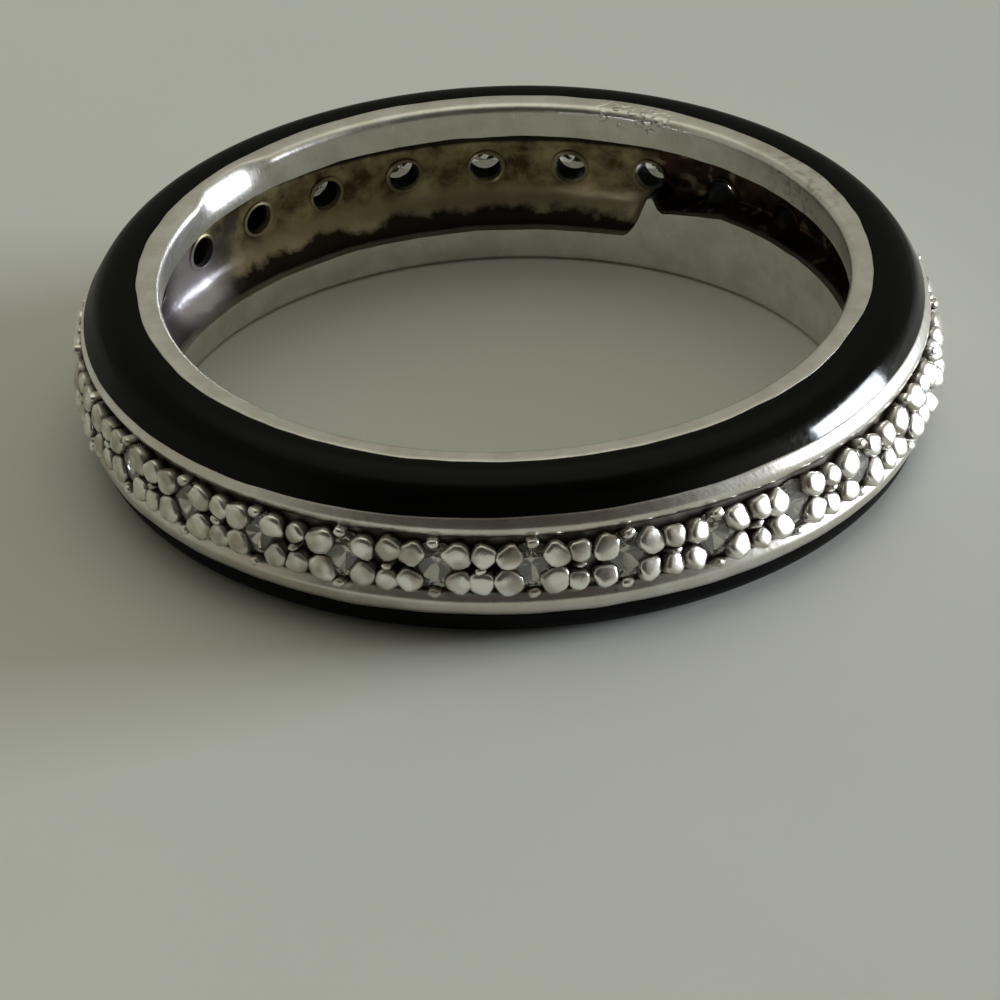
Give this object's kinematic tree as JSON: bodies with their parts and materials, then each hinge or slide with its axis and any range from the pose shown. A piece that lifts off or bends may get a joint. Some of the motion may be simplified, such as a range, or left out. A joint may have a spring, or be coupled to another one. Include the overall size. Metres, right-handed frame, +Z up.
{
  "type": "enamel and stone eternity ring",
  "caption": "Silver finger ring with a row of small round stones set in grains round its middle, between two domed shoulders of black enamel.",
  "frame": {"origin": "centre of the ring's lower edge, on the surface it lies on", "axes": "+Z up along the axis of the finger hole, as the ring lies on its side; +X towards stone_01"},
  "size_m": [0.0218, 0.0218, 0.0045],
  "materials": {
    "silver": "worn polish, tarnished brown in the hollow and between the grains",
    "black_enamel": "glossy fired enamel",
    "clear_stone": "polished facets"
  },
  "bodies": {
    "root": {"band": "silver", "enamel_upper": "black_enamel", "enamel_lower": "black_enamel", "stone_01": "clear_stone", "stone_02": "clear_stone", "stone_03": "clear_stone", "stone_04": "clear_stone", "stone_05": "clear_stone", "stone_06": "clear_stone", "stone_07": "clear_stone", "stone_08": "clear_stone", "stone_09": "clear_stone", "stone_10": "clear_stone", "stone_11": "clear_stone", "stone_12": "clear_stone", "stone_13": "clear_stone", "stone_14": "clear_stone", "stone_15": "clear_stone", "stone_16": "clear_stone", "stone_17": "clear_stone", "stone_18": "clear_stone", "stone_19": "clear_stone", "stone_20": "clear_stone", "stone_21": "clear_stone", "stone_22": "clear_stone", "stone_23": "clear_stone", "stone_24": "clear_stone", "stone_25": "clear_stone", "stone_26": "clear_stone", "stone_27": "clear_stone", "stone_28": "clear_stone"}
  },
  "joints": []
}
